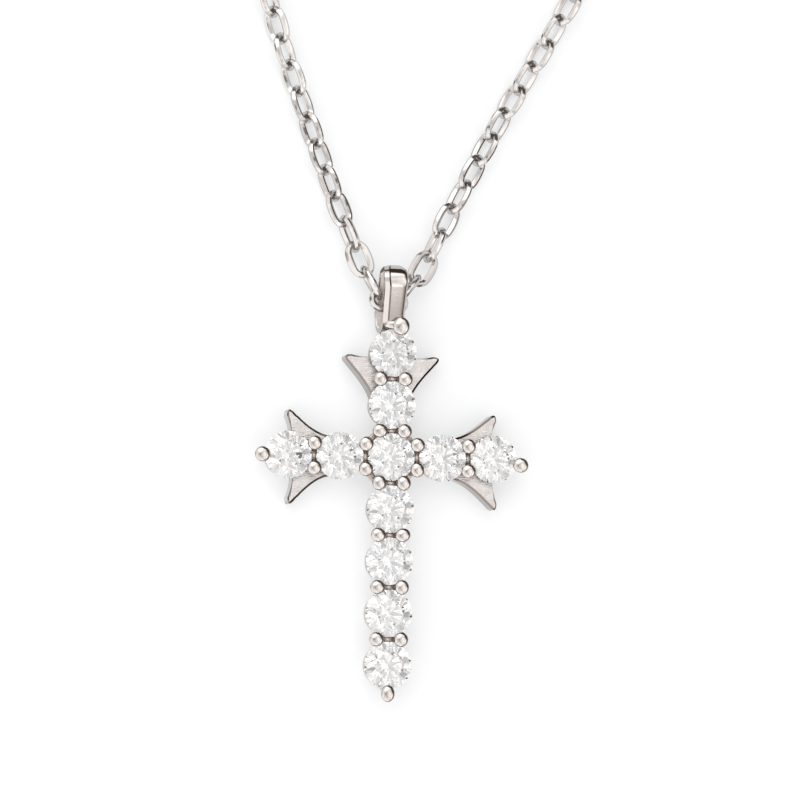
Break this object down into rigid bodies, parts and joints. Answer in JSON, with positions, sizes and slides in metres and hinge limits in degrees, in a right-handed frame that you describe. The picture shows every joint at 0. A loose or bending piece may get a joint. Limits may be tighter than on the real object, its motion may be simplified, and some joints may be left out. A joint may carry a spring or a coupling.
{
  "type": "cross pendant necklace",
  "caption": "Cross pendant of round clear stones in ball prongs with pointed horns at three arms and a tapered bail, lying on its back with its fine cable chain laid out around it.",
  "frame": {"origin": "on the flat back of the cross, under the centre stone, on the surface that the pendant lies on", "axes": "+X along the side arms to the right of someone who looks at the front, +Y up the shaft to the bail, +Z out of the front, away from the surface"},
  "size_m": [0.0938, 0.1908, 0.0028],
  "materials": {
    "silver": "polished silver",
    "chain_silver": "polished silver, fine links",
    "clear_stone": "clear cut stone, polished facets"
  },
  "bodies": {
    "root": {"cross_setting": "silver", "stone_centre": "clear_stone", "stone_up_1": "clear_stone", "stone_up_2": "clear_stone", "stone_down_1": "clear_stone", "stone_down_2": "clear_stone", "stone_down_3": "clear_stone", "stone_down_4": "clear_stone", "stone_left_1": "clear_stone", "stone_left_2": "clear_stone", "stone_right_1": "clear_stone", "stone_right_2": "clear_stone", "chain_left": "chain_silver", "chain_right": "chain_silver", "chain_back_left": "chain_silver", "chain_back_right": "chain_silver", "clasp": "silver", "jump_ring": "silver"}
  },
  "joints": []
}
